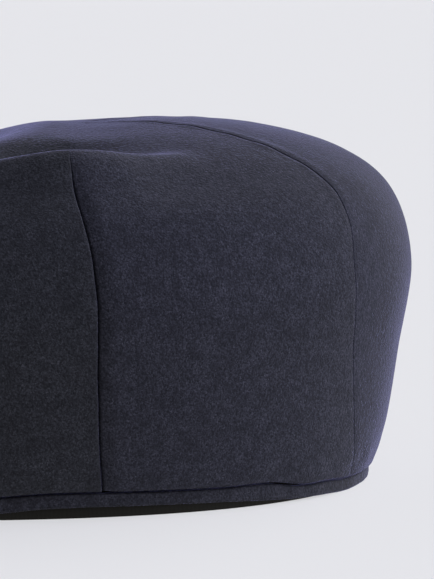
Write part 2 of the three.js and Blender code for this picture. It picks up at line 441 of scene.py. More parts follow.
@dataclass(frozen=True)
class CrownForm:
    """The crown's plain outer face, without its seams."""

    rings: Table = RINGS
    seams: Table = SEAMS
    hem: Table = HEM_EDGE
    peak: PeakForm = PeakForm()
    foot_gap: float = 0.3
    peak_gap: float = 0.5
    settling: tuple[float, float] = (0.8, 1.0)  # down the crown: where it bends to meet its foot
    # Round the head: where the foot climbs from the hem band on to the peak.
    climb: tuple[float, float] = (math.radians(98), math.radians(108))

    def ring_at(self, down: np.ndarray) -> dict[str, np.ndarray]:
        """Rings between the rows of the table, by a Catmull-Rom curve.

        Args:
            down: Where down the crown.

        Returns:
            Each column's values.
        """
        values = np.array(self.rings.rows, float)
        columns = self.rings.columns
        top, second = values[0], values[1]
        above = second.copy()
        for name in ("half_width", "rear", "front"):
            at = columns.index(name)
            above[at] = 2.0 * top[at] - second[at]
        below = 2.0 * values[-1] - values[-2]
        padded = np.vstack([above, values, below])
        last = len(values) - 1
        place = np.clip(down, 0.0, 1.0) * last
        row = np.minimum(np.floor(place).astype(int), last - 1)
        share = (place - row)[..., None]
        a, b, c, d = (padded[row + step] for step in range(4))
        linear = (c - a) * share
        squared = (2 * a - 5 * b + 4 * c - d) * share**2
        cubed = (3 * b - a - 3 * c + d) * share**3
        found = b + 0.5 * (linear + squared + cubed)
        return {name: found[..., i] for i, name in enumerate(columns)}

    @staticmethod
    def ring_height(ring: dict[str, np.ndarray], angle: np.ndarray) -> np.ndarray:
        """Height of a ring at an angle, from its four heights.

        Args:
            ring: What `ring_at` found.
            angle: Angles round the head.

        Returns:
            The height at each angle.
        """
        share = np.cos(angle) ** 2
        rear = mix(ring["z_side"], ring["z_rear"], share)
        middle = 2 * ring["z_quarter"] * share * (1 - share)
        front = ring["z_side"] * (1 - share) ** 2 + middle + ring["z_front"] * share**2
        return np.where(np.cos(angle) >= 0.0, rear, front)

    def hem_lift(self, angle: np.ndarray) -> np.ndarray:
        """Height of the hem band's lower edge over the table."""
        return np.maximum(0.0, self.hem.along("lift", np.degrees(folded(angle))))

    def hem_top(self, angle: np.ndarray) -> np.ndarray:
        """Height of the hem band's upper edge over the table."""
        return self.hem_lift(angle) + self.hem.along("height", np.degrees(folded(angle)))

    def foot_height(self, angle: np.ndarray) -> np.ndarray:
        """Height of the crown's foot, over the hem band behind and over the peak in front.

        Args:
            angle: Angles round the head.

        Returns:
            The height at each angle.
        """
        foot = Oval(**{name: self.rings.last()[name] for name in Oval.__dataclass_fields__})
        plan = foot.point(angle)
        over_band = self.hem_top(angle) + self.foot_gap
        over_peak = self.peak.middle(plan[..., 0], plan[..., 1]) + self.peak.thickness / 2
        climbed = smooth_step(*self.climb, folded(angle))
        return mix(over_band, over_peak + self.peak_gap, climbed)

    def point(self, angle: np.ndarray, down: np.ndarray) -> np.ndarray:
        """Points of the plain face.

        Args:
            angle: Angles round the head.
            down: Where down the crown.

        Returns:
            x, y and z for each.
        """
        angle, down = np.broadcast_arrays(np.asarray(angle, float), np.asarray(down, float))
        ring = self.ring_at(down)
        plan = Oval(*(ring[name] for name in Oval.__dataclass_fields__)).point(angle)
        foot = {name: np.full(down.shape, value) for name, value in self.rings.last().items()}
        settle = self.foot_height(angle) - self.ring_height(foot, angle)
        height = self.ring_height(ring, angle) + smooth_step(*self.settling, down) * settle
        return np.concatenate([plan, height[..., None]], axis=-1)

    def normal(self, angle: np.ndarray, down: np.ndarray, step: float = 2e-3) -> np.ndarray:
        """Outward directions of the plain face, by differences over a small step.

        Args:
            angle: Angles round the head.
            down: Where down the crown.
            step: How far apart the differences are read, as a share of the way down.

        Returns:
            A direction of length 1 for each place.
        """
        radius = np.clip(down, step, 1.0 - step)
        across, back = radius * np.sin(angle), radius * np.cos(angle)

        def disc(left: np.ndarray, rear: np.ndarray) -> np.ndarray:
            """Points of the face over a flat disc, which has no seam at the top."""
            return self.point(np.arctan2(left, rear), np.hypot(left, rear))

        to_left = disc(across + step, back) - disc(across - step, back)
        to_back = disc(across, back + step) - disc(across, back - step)
        found = np.cross(to_left, to_back)
        return found / np.linalg.norm(found, axis=-1, keepdims=True)


# ---------------------------------------------------------------- finishes
class Nodes:
    """Builds a material's node tree in a few readable calls."""

    def __init__(self, name: str) -> None:
        """Starts an empty material.

        Args:
            name: The material's name.
        """
        self.material = bpy.data.materials.new(name)
        self.material.use_nodes = True
        self.tree = self.material.node_tree
        self.tree.nodes.clear()
        self.shader = self.add("ShaderNodeBsdfPrincipled")
        output = self.add("ShaderNodeOutputMaterial")
        self.link(self.shader.outputs[0], output.inputs["Surface"])
        self.places = self.add("ShaderNodeTexCoord")

    def add(self, kind: str, **settings: object) -> bpy.types.Node:
        """Adds a node and sets its properties.

        Args:
            kind: The node's type.
            **settings: Its properties by name.

        Returns:
            The new node.
        """
        node = self.tree.nodes.new(kind)
        for name, value in settings.items():
            setattr(node, name, value)
        return node

    def link(self, source: bpy.types.NodeSocket, target: bpy.types.NodeSocket) -> None:
        """Joins two sockets."""
        self.tree.links.new(source, target)

    def feed(self, target: bpy.types.NodeSocket, value: object) -> None:
        """Sets a socket to a number or colour, or joins it to another.

        Args:
            target: The socket that is fed.
            value: A number, a colour or another node's socket.
        """
        if isinstance(value, bpy.types.NodeSocket):
            self.link(value, target)
        else:
            target.default_value = value

    def moved(
        self, scale: tuple[float, float, float], turn: float = 0.0, source: str = "UV"
    ) -> bpy.types.NodeSocket:
        """Coordinates turned and then stretched.

        Args:
            scale: Repeats per metre along each axis.
            turn: Degrees about the cloth's face.
            source: The texture coordinate to start from.

        Returns:
            The mapped coordinates.
        """
        turned = self.add("ShaderNodeMapping")
        turned.inputs["Rotation"].default_value = (0.0, 0.0, math.radians(turn))
        self.link(self.places.outputs[source], turned.inputs["Vector"])
        stretched = self.add("ShaderNodeMapping")
        stretched.inputs["Scale"].default_value = scale
        self.link(turned.outputs[0], stretched.inputs["Vector"])
        return stretched.outputs[0]

    def even(self, scale: float) -> bpy.types.NodeSocket:
        """The piece's own coordinates, scaled alike along each axis."""
        return self.moved((scale,) * 3, source="Object")

    def grain(
        self, where: bpy.types.NodeSocket, detail: float = 2.0, rough: float = 0.5
    ) -> bpy.types.NodeSocket:
        """Soft noise from 0 to 1 over scaled coordinates.

        Args:
            where: The coordinates.
            detail: How many finer layers it has.
            rough: How strong the finer layers are.

        Returns:
            The noise's value.
        """
        made = self.add("ShaderNodeTexNoise")
        made.inputs["Scale"].default_value = 1.0
        made.inputs["Detail"].default_value = detail
        made.inputs["Roughness"].default_value = rough
        self.link(where, made.inputs["Vector"])
        return made.outputs[0]

    def ramp(
        self, value: bpy.types.NodeSocket, low: float, high: float, to: tuple[float, float] = (0.0, 1.0)
    ) -> bpy.types.NodeSocket:
        """Stretches a range of a value to another, held at its ends.

        Args:
            value: The value to stretch.
            low: Where its range begins.
            high: Where its range ends.
            to: The range that it becomes.

        Returns:
            The stretched value.
        """
        made = self.add("ShaderNodeMapRange", interpolation_type="SMOOTHSTEP")
        made.inputs["From Min"].default_value = low
        made.inputs["From Max"].default_value = high
        made.inputs["To Min"].default_value = to[0]
        made.inputs["To Max"].default_value = to[1]
        self.link(value, made.inputs["Value"])
        return made.outputs[0]

    def math(self, kind: str, first: object, second: object) -> bpy.types.NodeSocket:
        """A sum, product or other operation on two values.

        Args:
            kind: The operation.
            first: A number or a socket.
            second: A number or a socket.

        Returns:
            The result.
        """
        made = self.add("ShaderNodeMath", operation=kind)
        self.feed(made.inputs[0], first)
        self.feed(made.inputs[1], second)
        return made.outputs[0]

    def blend(self, share: object, first: object, second: object) -> bpy.types.NodeSocket:
        """A mix of two colours.

        Args:
            share: How much of the second colour.
            first: A colour or a socket.
            second: A colour or a socket.

        Returns:
            The mixed colour.
        """
        made = self.add("ShaderNodeMix", data_type="RGBA")
        self.feed(made.inputs[0], share)
        self.feed(made.inputs[6], first)
        self.feed(made.inputs[7], second)
        return made.outputs[2]

    def bump(
        self, height: bpy.types.NodeSocket, distance: float, before: object = None
    ) -> bpy.types.NodeSocket:
        """Surface relief from a height.

        Args:
            height: The height from 0 to 1.
            distance: How tall 1 is, in metres.
            before: A normal to add it to.

        Returns:
            The shading normal.
        """
        made = self.add("ShaderNodeBump")
        made.inputs["Distance"].default_value = distance
        made.inputs["Strength"].default_value = 1.0
        self.link(height, made.inputs["Height"])
        if before is not None:
            self.link(before, made.inputs["Normal"])
        return made.outputs[0]


Colour = tuple[float, float, float, float]


@dataclass(frozen=True)
class WoolMelton:
    """Brushed wool: a dark navy ground, lighter fibres lying all ways and a soft bloom."""

    name: str = "navy_wool_melton"
    # Painted shade: how much red, green and blue this copy of the cloth keeps, so that some pieces look
    # darker than the lamps make them.
    nap: tuple[float, float, float] = (1.0, 1.0, 1.0)
    ground: Colour = (0.0112, 0.0114, 0.0170, 1.0)
    body: Colour = (0.0318, 0.0325, 0.0470, 1.0)
    fibre: Colour = (0.082, 0.084, 0.119, 1.0)
    sheen: float = 0.59
    sheen_roughness: float = 0.2
    sheen_tint: Colour = (0.49, 0.49, 0.96, 1.0)
    roughness: float = 0.95
    shine: float = 0.18
    # Repeats per metre of the grain, the small tufts, the clumps and the slow mottling.
    fine_scale: float = 1650.0
    tuft_scale: float = 2400.0
    clump_scale: float = 850.0
    mottle_scale: float = 260.0
    fine_range: tuple[float, float] = (0.3, 0.7)
    tuft_range: tuple[float, float] = (0.52, 0.78)
    tuft_share: float = 0.7
    streak_scale: tuple[float, float, float] = (800.0, 3000.0, 1.0)
    streak_range: tuple[float, float] = (0.56, 0.74)
    streak_share: float = 0.26
    fibre_turns: tuple[float, ...] = (12.0, 68.0, 131.0, 158.0)
    shade_range: tuple[float, float] = (0.36, 0.64)
    deepest_shade: float = 0.58
    clump_relief: float = 0.00016
    nap_relief: float = 0.00026
    fine_part: float = 0.6  # the grain's part in the nap's relief; the tufts give the rest
    tuft_part: float = 0.4

    def toned(self, colour: Colour) -> Colour:
        """A colour darkened by the painted shade."""
        return tuple(nap * part for nap, part in zip(self.nap, colour)) + (1.0,)

    def fibres(self, nodes: Nodes) -> bpy.types.NodeSocket:
        """Short thin streaks in several directions, from 0 to 1.

        Args:
            nodes: The cloth's node tree.

        Returns:
            The streaks' value.
        """
        total: bpy.types.NodeSocket | None = None
        for turn in self.fibre_turns:
            streak = nodes.grain(nodes.moved(self.streak_scale, turn), detail=1.0)
            thin = nodes.ramp(streak, *self.streak_range)
            total = thin if total is None else nodes.math("MAXIMUM", total, thin)
        return total

    def material(self) -> bpy.types.Material:
        """Builds the cloth's material.

        Returns:
            The material.
        """
        nodes = Nodes(self.name)
        fine = nodes.grain(nodes.even(self.fine_scale), detail=1.5, rough=0.55)
        tufts = nodes.grain(nodes.even(self.tuft_scale), detail=1.0)
        clumps = nodes.grain(nodes.even(self.clump_scale), detail=2.0)
        mottle = nodes.grain(nodes.even(self.mottle_scale), detail=3.0)
        fibres = self.fibres(nodes)
        share = nodes.ramp(fine, *self.fine_range)
        colour = nodes.blend(share, self.toned(self.ground), self.toned(self.body))
        flecks = nodes.math("MULTIPLY", nodes.ramp(tufts, *self.tuft_range), self.tuft_share)
        streaks = nodes.math("MULTIPLY", fibres, self.streak_share)
        lighter = nodes.math("MAXIMUM", flecks, streaks)
        colour = nodes.blend(lighter, colour, self.toned(self.fibre))
        parts = (nodes.math("MULTIPLY", clumps, 0.5), nodes.math("MULTIPLY", mottle, 0.5))
        patches = nodes.math("ADD", *parts)
        shade = nodes.ramp(patches, *self.shade_range, to=(0.0, self.deepest_shade))
        colour = nodes.blend(shade, colour, self.toned(self.ground))
        nodes.link(colour, nodes.shader.inputs["Base Color"])
        grain = nodes.math("MULTIPLY", fine, self.fine_part)
        height = nodes.math("ADD", grain, nodes.math("MULTIPLY", tufts, self.tuft_part))
        normal = nodes.bump(clumps, self.clump_relief)
        normal = nodes.bump(height, self.nap_relief, normal)
        nodes.link(normal, nodes.shader.inputs["Normal"])
        nodes.shader.inputs["Roughness"].default_value = self.roughness
        nodes.shader.inputs["Specular IOR Level"].default_value = self.shine
        nodes.shader.inputs["Sheen Weight"].default_value = self.sheen
        nodes.shader.inputs["Sheen Roughness"].default_value = self.sheen_roughness
        nodes.shader.inputs["Sheen Tint"].default_value = self.sheen_tint
        return nodes.material


@dataclass(frozen=True)
class BandTape:
    """Black cotton tape with fine upright ribs."""

    dark: Colour = (0.0075, 0.0070, 0.0055, 1.0)
    light: Colour = (0.0105, 0.0099, 0.0080, 1.0)
    rib: float = 0.0011
    rib_relief: float = 0.00002
    wavering: float = 0.3
    yarn_scale: float = 3000.0
    roughness: float = 0.8
    shine: float = 0.2

    def material(self) -> bpy.types.Material:
        """Builds the tape's material.

        Returns:
            The material.
        """
        nodes = Nodes("black_cotton_tape")
        wave = nodes.add("ShaderNodeTexWave", wave_type="BANDS", bands_direction="X")
        wave.inputs["Scale"].default_value = 1.0
        wave.inputs["Distortion"].default_value = self.wavering
        # At a scale of 1 the wave repeats every pi / 10.
        turns = 1.0 / self.rib * math.pi / 10.0
        nodes.link(nodes.moved((turns, turns, turns)), wave.inputs["Vector"])
        fine = nodes.grain(nodes.even(self.yarn_scale))
        share = nodes.math("MULTIPLY", wave.outputs[1], fine)
        nodes.link(nodes.blend(share, self.dark, self.light), nodes.shader.inputs["Base Color"])
        nodes.link(nodes.bump(wave.outputs[1], self.rib_relief), nodes.shader.inputs["Normal"])
        nodes.shader.inputs["Roughness"].default_value = self.roughness
        nodes.shader.inputs["Specular IOR Level"].default_value = self.shine
        return nodes.material


@dataclass(frozen=True)
class PaleFloor:
    """A plain pale table, faintly lit from below so that shadows stay light."""

    tone: Colour = (0.80, 0.80, 0.815, 1.0)
    glow: float = 0.7

    def material(self) -> bpy.types.Material:
        """Builds the floor's material.

        Returns:
            The material.
        """
        nodes = Nodes("pale_floor")
        rest = 1.0 - self.glow
        nodes.shader.inputs["Base Color"].default_value = tuple(rest * c for c in self.tone[:3]) + (1.0,)
        nodes.shader.inputs["Roughness"].default_value = 1.0
        nodes.shader.inputs["Specular IOR Level"].default_value = 0.0
        nodes.shader.inputs["Emission Color"].default_value = self.tone
        nodes.shader.inputs["Emission Strength"].default_value = self.glow
        return nodes.material


# ---------------------------------------------------------------- meshes
def flat_slab(columns: int, rows: int, thickness: float = 1.0) -> bmesh.types.BMesh:
    """A slab whose face is a unit square of squares, with a second face under it.

    Args:
        columns: Squares from side to side.
        rows: Squares from end to end.
        thickness: How far below the first face the second lies.

    Returns:
        A closed bmesh with its face at height 0.
    """
    made = bmesh.new()
    bmesh.ops.create_grid(made, x_segments=columns, y_segments=rows, size=0.5)
    bmesh.ops.translate(made, verts=made.verts, vec=(0.5, 0.5, 0.0))
    grown = bmesh.ops.extrude_face_region(made, geom=made.faces[:])
    lowered = [item for item in grown["geom"] if isinstance(item, bmesh.types.BMVert)]
    bmesh.ops.translate(made, verts=lowered, vec=(0.0, 0.0, -thickness))
    bmesh.ops.recalc_face_normals(made, faces=made.faces)
    return made


def coordinates(made: bmesh.types.BMesh) -> np.ndarray:
    """The places of a bmesh's vertices."""
    made.verts.index_update()
    return np.array([vert.co[:] for vert in made.verts], float)


def put_back(made: bmesh.types.BMesh, points: np.ndarray) -> None:
    """Moves each vertex of a bmesh to its new place."""
    for vert, point in zip(made.verts, points):
        vert.co = point


def lay_map(made: bmesh.types.BMesh, flat: np.ndarray) -> None:
    """Gives each face corner the place of its vertex on the uncut cloth, in metres.

    Args:
        made: The piece, whose faces get a UV map.
        flat: Each vertex's place on the flat cloth.
    """
    layer = made.loops.layers.uv.new("cloth")
    for face in made.faces:
        for loop in face.loops:
            loop[layer].uv = flat[loop.vert.index]


def finish_piece(
    made: bmesh.types.BMesh, name: str, node: str, finish: bpy.types.Material
) -> bpy.types.Object:
    """Makes an object of a bmesh and sets it in its node's place.

    Args:
        made: The piece in metres in the frame. It is freed.
        name: The object's name.
        node: The frame's node that it replaces.
        finish: Its material.

    Returns:
        The finished object.
    """
    bmesh.ops.recalc_face_normals(made, faces=made.faces)
    mesh = bpy.data.meshes.new(name)
    made.to_mesh(mesh)
    made.free()
    mesh.shade_smooth()
    mesh.materials.append(finish)
    piece = bpy.data.objects.new(name, mesh)
    bpy.context.scene.collection.objects.link(piece)
    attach(piece, ROOT)
    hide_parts(node)
    LOG.info("%s: %d faces", name, len(mesh.polygons))
    return piece


# The puckers along a seam: each wave's length for one radian, its share and where it starts.
PUCKER_WAVES = ((1.9, 1.0, 0.0), (3.1, 0.7, 1.0), (5.3, 0.5, 2.0))


@dataclass(frozen=True)
class SeamEdge:
    """How a panel's cloth turns down into a seam."""

    roll: float = 1.15  # radius of the turned edge
    draw: float = 0.45  # how far the seam draws the cloth in around it
    draw_reach: float = 5.0
    ridge: float = 0.14  # the seam allowance that shows through beside the edge
    ridge_at: float = 2.2
    ridge_reach: float = 1.2
    proud: float = 0.0  # how far this side stands over the other
    proud_reach: float = 10.0
    pucker: float = 0.10
    pucker_reach: float = 3.0
    pressed: tuple[float, float] = (0.0, 0.07)  # down the crown: pressed flat before, full after
    least_roll: float = 0.03  # share of the roll that stays where the seam is pressed flat
    foot_calm: float = 16.0  # the proud side settles over this length above the foot
    lower: float = 1.0  # share of the seam's relief that is left on the crown's wall
    wall: tuple[float, float] = (0.4, 0.55)  # down the crown: where its wall begins
    gap: float = 0.04  # space between the two edges where the seam stands fully
    least_gap: float = 0.006  # and where it is pressed flat
    allowance: float = 0.0  # how far the cloth's inner side turns down beside the seam
    allowance_reach: float = 0.8

    def strength(self, down: np.ndarray) -> np.ndarray:
        """How fully the seam stands at places down the crown, from 0 to 1."""
        on_wall = mix(1.0, self.lower, smooth_step(*self.wall, down))
        return smooth_step(*self.pressed, down) * on_wall

    def relief(
        self, away: np.ndarray, run: np.ndarray, down: np.ndarray, to_foot: np.ndarray
    ) -> np.ndarray:
        """Lift of the cloth beside the seam, without the turned edge.

        Args:
            away: Distance from the seam.
            run: Length along the seam.
            down: Places down the crown.
            to_foot: Length left to the crown's foot.

        Returns:
            The lift at each place, negative where it is drawn in.
        """
        ripple = sum(share * np.sin(run / length + start) for length, share, start in PUCKER_WAVES)
        lift = self.ridge * bell(away - self.ridge_at, self.ridge_reach)
        lift = lift - self.draw * bell(away, self.draw_reach)
        stand = self.proud * smooth_step(1.0, self.foot_calm, to_foot)
        lift = lift + stand * (1.0 - smooth_step(0.0, self.proud_reach, away))
        lift = lift + self.pucker * ripple * bell(away, self.pucker_reach)
        return lift * self.strength(down)

    def turned(self, away: np.ndarray, strength: np.ndarray | float = 1.0) -> np.ndarray:
        """How far the rounded edge drops the outer face.

        Args:
            away: Distance from the edge.
            strength: How fully the seam stands, from 0 to 1.

        Returns:
            The drop at each place, 0 or negative.
        """
        roll = self.roll * mix(self.least_roll, 1.0, strength)
        share = np.clip(1.0 - away / roll, 0.0, 1.0)
        return -roll * (1.0 - np.sqrt(1.0 - share**2))


@dataclass(frozen=True)
class SeamLine:
    """One side of a seam: its angle down the crown and how the cloth turns into it."""

    form: CrownForm
    name: str
    side: int  # 1 on the wearer's left, -1 on the right
    edge: SeamEdge
    turns: int = 0  # whole turns added to the angle
    widest_margin: float = math.radians(14)  # near the top, where a gap would take a whole turn

    def angle(self, down: np.ndarray) -> np.ndarray:
        """The seam's angle round the head at places down the crown."""
        degrees = self.side * self.form.seams.along(self.name, down)
        return np.radians(degrees) + 2.0 * math.pi * self.turns

    def gap(self, down: np.ndarray) -> np.ndarray:
        """Space between the two edges' outer faces at places down the crown."""
        return mix(self.edge.least_gap, self.edge.gap, self.edge.strength(down))

    def margin(self, down: np.ndarray, gap: np.ndarray | float, step: float = 4e-3) -> np.ndarray:
        """Angle that leaves half of a gap, square to the seam.

        Args:
            down: Places down the crown.
            gap: The gap's width there.
            step: How far apart the slopes are read.

        Returns:
            The angle at each place.
        """
        above, below = np.maximum(down - step, 0.0), np.minimum(down + step, 1.0)
        run = self.form.point(self.angle(below), below) - self.form.point(self.angle(above), above)
        run = run / np.linalg.norm(run, axis=-1, keepdims=True)
        middle = self.angle(down)
        turn = self.form.point(middle + step, down) - self.form.point(middle - step, down)
        speed = np.linalg.norm(np.cross(turn, run), axis=-1) / (2.0 * step)
        return np.minimum(gap / 2.0 / speed, self.widest_margin)


@dataclass
class CrownPanel:
    """One gore of the crown, from the point where the panels meet down to the hem."""

    form: CrownForm
    place: Place
    node: str
    start: SeamLine
    end: SeamLine
    finish: bpy.types.Material
    tip: float = 0.0004  # down the crown: where its first row lies, all but at the meeting point
    rows: int = 170
    edge_zone: float = 7.0
    edge_part: float = 3.0  # an edge zone takes no more than one part in this many of a row
    edge_columns: int = 16
    middle_columns: int = 44
    edge_crowding: float = 1.9
    foot_roll: float = 0.8
    foot_zone: float = 6.0
    foot_rows: int = 22
    foot_crowding: float = 1.6
    readings_down: int = 1500
    readings_across: int = 241
    calm_foot: float = 14.0  # the slow waves die away over this length above the foot
    waves: Unevenness = Unevenness(height=0.35, size=26.0, seed=3.0)
    dimples: Unevenness = Unevenness(height=0.03, size=4.5, seed=8.0)
    # The cloth swells a little where the hem holds it: how much, where and how unevenly.
    swell: float = 0.12
    swell_at: float = 4.0
    swell_reach: float = 3.0
    swell_waves: Unevenness = Unevenness(height=0.22, size=7.0, seed=5.0)

    def down_places(self) -> np.ndarray:
        """Rows down the panel: even on the cloth, and closer together at the foot.

        Returns:
            Each row's place down the crown.
        """
        dense = np.linspace(self.tip, 1.0, self.readings_down)
        middle = (self.start.angle(dense) + self.end.angle(dense)) / 2.0
        length = running_length(self.form.point(middle, dense), axis=0)
        foot_start = length[-1] - self.foot_zone
        body = np.linspace(0.0, foot_start, self.rows - self.foot_rows, endpoint=False)
        even = np.linspace(0.0, 1.0, self.foot_rows + 1)
        foot = foot_start + self.foot_zone * (1.0 - (1.0 - even) ** self.foot_crowding)
        return np.interp(np.concatenate([body, foot]), length, dense)

    def across_places(self, width: np.ndarray) -> np.ndarray:
        """Distances of the columns from the first seam, for rows of given widths.

        Args:
            width: Each row's width.

        Returns:
            A row of distances for each width.
        """
        zone = np.minimum(self.edge_zone, width / self.edge_part)[:, None]
        shares = np.linspace(0.0, 1.0, self.edge_columns + 1) ** self.edge_crowding
        near = zone * shares
        inner = np.linspace(0.0, 1.0, self.middle_columns + 1)[1:-1]
        middle = zone + (width[:, None] - 2.0 * zone) * inner
        far = width[:, None] - near[:, ::-1]
        return np.concatenate([near, middle, far], axis=1)

    def lay_out(self) -> dict[str, np.ndarray]:
        """Works out the panel's grid on the plain face.

        Returns:
            Angles, places down, distances to both seams and to the foot, and flat coordinates.
        """
        down = self.down_places()
        low = self.start.angle(down) + self.start.margin(down, self.start.gap(down))
        high = self.end.angle(down) - self.end.margin(down, self.end.gap(down))
        dense = np.linspace(0.0, 1.0, self.readings_across)
        angles = low[:, None] + (high - low)[:, None] * dense
        row_points = self.form.point(angles, down[:, None])
        length = running_length(row_points, axis=1)
        across = self.across_places(length[:, -1])
        angle = np.stack([np.interp(a, l, t) for a, l, t in zip(across, length, angles)])
        down_all = np.repeat(down[:, None], angle.shape[1], axis=1)
        points = self.form.point(angle, down_all)
        run = running_length(points, axis=0)
        middle = run[:, run.shape[1] // 2]
        width = length[:, -1:]
        downwards = -np.repeat(middle[:, None], across.shape[1], axis=1)
        return {
            "angle": angle,
            "down": down_all,
            "points": points,
            "from_start": across * self.squareness(points, 0),
            "from_end": (width - across) * self.squareness(points, -1),
            "run": run,
            "to_foot": run[-1:, :] - run,
            "flat": np.stack([across - width / 2.0, downwards], axis=-1),
        }

    @staticmethod
    def squareness(points: np.ndarray, column: int) -> np.ndarray:
        """How square each row meets a seam: 1 where it crosses at a right angle.

        Args:
            points: The panel's points, row by row.
            column: 0 for the first seam, -1 for the second.

        Returns:
            One value for each row.
        """
        along = np.gradient(points[:, column], axis=0)
        inward = points[:, 1] - points[:, 0] if column == 0 else points[:, -2] - points[:, -1]
        cross = np.linalg.norm(np.cross(along, inward), axis=-1)
        size = np.linalg.norm(along, axis=-1) * np.linalg.norm(inward, axis=-1)
        return (cross / np.maximum(size, 1e-12))[:, None]

    def sides(self, grid: dict[str, np.ndarray]) -> tuple[tuple[SeamEdge, np.ndarray], ...]:
        """Each seam's edge with the distances from it."""
        return ((self.start.edge, grid["from_start"]), (self.end.edge, grid["from_end"]))

    def lift(self, grid: dict[str, np.ndarray]) -> tuple[np.ndarray, np.ndarray]:
        """Relief of the panel.

        Args:
            grid: What `lay_out` found.

        Returns:
            The lift of both faces, and the extra drop of the outer face at its turned edges.
        """
        points = grid["points"]
        both = sum(fold.relief(points) for fold in FOLDS)
        for edge, away in self.sides(grid):
            both = both + edge.relief(away, grid["run"], grid["down"], grid["to_foot"])
        calm = smooth_step(0.0, self.calm_foot, grid["to_foot"])
        both = both + calm * self.waves.at(points) + self.dimples.at(points)
        near_hem = bell(grid["to_foot"] - self.swell_at, self.swell_reach)
        both = both + near_hem * (self.swell + self.swell_waves.at(points))
        foot = SeamEdge(roll=self.foot_roll)
        outer = foot.turned(grid["to_foot"])
        for edge, away in self.sides(grid):
            outer = np.minimum(outer, edge.turned(away, edge.strength(grid["down"])))
        return both, outer

    def lining_side(self, grid: dict[str, np.ndarray]) -> np.ndarray:
        """The plain face as the cloth's inner side has it, where both seams are shut.

        Args:
            grid: What `lay_out` found.

        Returns:
            The grid's points, with the border columns moved out until they all but meet.
        """
        points = grid["points"].copy()
        down = grid["down"][:, 0]
        for column, line, way in ((0, self.start, 1.0), (-1, self.end, -1.0)):
            angle = line.angle(down) + way * line.margin(down, line.edge.least_gap)
            points[:, column] = self.form.point(angle, down)
        return points

    def allowance(self, grid: dict[str, np.ndarray]) -> np.ndarray:
        """How far the inner side turns down beside both seams.

        Args:
            grid: What `lay_out` found.

        Returns:
            The extra depth at each place.
        """
        return sum(
            edge.allowance * edge.strength(grid["down"]) * bell(away, edge.allowance_reach)
            for edge, away in self.sides(grid)
        )

    def build(self) -> bpy.types.Object:
        """Makes the panel's object.

        Returns:
            The finished panel.
        """
        grid = self.lay_out()
        both, outer = self.lift(grid)
        normal = self.form.normal(grid["angle"], grid["down"])
        face = grid["points"] + normal * (both + outer)[..., None]
        inner = both - CLOTH - self.allowance(grid)
        back = self.lining_side(grid) + normal * inner[..., None]
        rows, columns = grid["down"].shape
        made = flat_slab(columns - 1, rows - 1)
        flat = coordinates(made)
        column = np.rint(flat[:, 0] * (columns - 1)).astype(int)
        row = np.rint(flat[:, 1] * (rows - 1)).astype(int)
        inside = flat[:, 2] < -0.5
        laid = np.where(inside[:, None], back[row, column], face[row, column])
        laid[:, 2] = np.maximum(laid[:, 2], 0.0)
        put_back(made, self.place.metres(laid))
        lay_map(made, grid["flat"][row, column] * MM)
        return finish_piece(made, f"wool_{self.node}", self.node, self.finish)


@dataclass
class Crown:
    """The eight panels of the crown."""

    form: CrownForm
    place: Place
    wool: WoolMelton
    # Painted shade: darker copies of the wool for the back and side panels.
    naps: tuple[tuple[str, tuple[float, float, float]], ...] = (
        ("panel_back", (0.92, 0.93, 1.00)),
        ("panel_side", (0.88, 0.90, 0.81)),
    )
    plain: SeamEdge = SeamEdge(pressed=(0.02, 0.3))
    back_inner: SeamEdge = SeamEdge(
        roll=0.45, draw=0.15, proud=0.15, proud_reach=6.0, pressed=(0.02, 0.05), lower=0.3
    )
    back_outer: SeamEdge = SeamEdge(
        roll=0.3, draw=0.2, draw_reach=2.0, ridge=0.2, ridge_at=1.4, pressed=(0.02, 0.05), lower=0.4
    )
    ear_front: SeamEdge = SeamEdge(
        roll=0.6,
        draw=0.2,
        proud=0.25,
        ridge=0.0,
        pressed=(0.335, 0.42),
        foot_calm=30.0,
        gap=0.42,
        allowance=1.3,
    )
    ear_rear: SeamEdge = SeamEdge(
        roll=0.8, draw=1.0, draw_reach=2.2, ridge=0.0, pressed=(0.335, 0.42), gap=0.42
    )

    def seam(self, name: str, side: int, forward: bool, turns: int = 0) -> SeamLine:
        """One side of a seam.

        Args:
            name: The seam.
            side: 1 on the left, -1 on the right.
            forward: True for the panel in front of the seam.
            turns: Whole turns added to its angle.

        Returns:
            The seam as that panel's border.
        """
        edges = {
            "back": (self.back_inner, self.back_outer),
            "ear": (self.ear_rear, self.ear_front),
        }
        known = name == "back" or (name == "ear" and side > 0)
        edge = edges[name][int(forward)] if known else self.plain
        return SeamLine(self.form, name, side, edge, turns)

    def panels(self) -> list[CrownPanel]:
        """All panels with the seams that they lie between.

        Returns:
            The eight panels, not yet built.
        """
        borders = {
            "panel_back": (self.seam("back", -1, False), self.seam("back", 1, False)),
            "panel_front": (self.seam("brow", 1, True), self.seam("brow", -1, True, turns=1)),
        }
        sides = (("back", "ear", "rear"), ("ear", "temple", "side"), ("temple", "brow", "front"))
        for rear, front, name in sides:
            rear_left, front_left = self.seam(rear, 1, True), self.seam(front, 1, False)
            rear_right, front_right = self.seam(rear, -1, True), self.seam(front, -1, False)
            borders[f"panel_{name}_left"] = (rear_left, front_left)
            borders[f"panel_{name}_right"] = (front_right, rear_right)
        return [
            CrownPanel(self.form, self.place, node, start, end, self.cloth_for(node))
            for node, (start, end) in borders.items()
        ]

    def cloth_for(self, node: str) -> bpy.types.Material:
        """The panel's cloth: on some panels a darker copy, which is painted shade.

        Args:
            node: The panel's node.

        Returns:
            Its material, shared by the panels with the same painted shade.
        """
        for kind, nap in self.naps:
            if node.startswith(kind):
                name = f"{self.wool.name}_{kind}"
                known = bpy.data.materials.get(name)
                return known or replace(self.wool, name=name, nap=nap).material()
        return bpy.data.materials.get(self.wool.name) or self.wool.material()

    def build(self) -> None:
        """Makes every panel."""
        for panel in self.panels():
            panel.build()


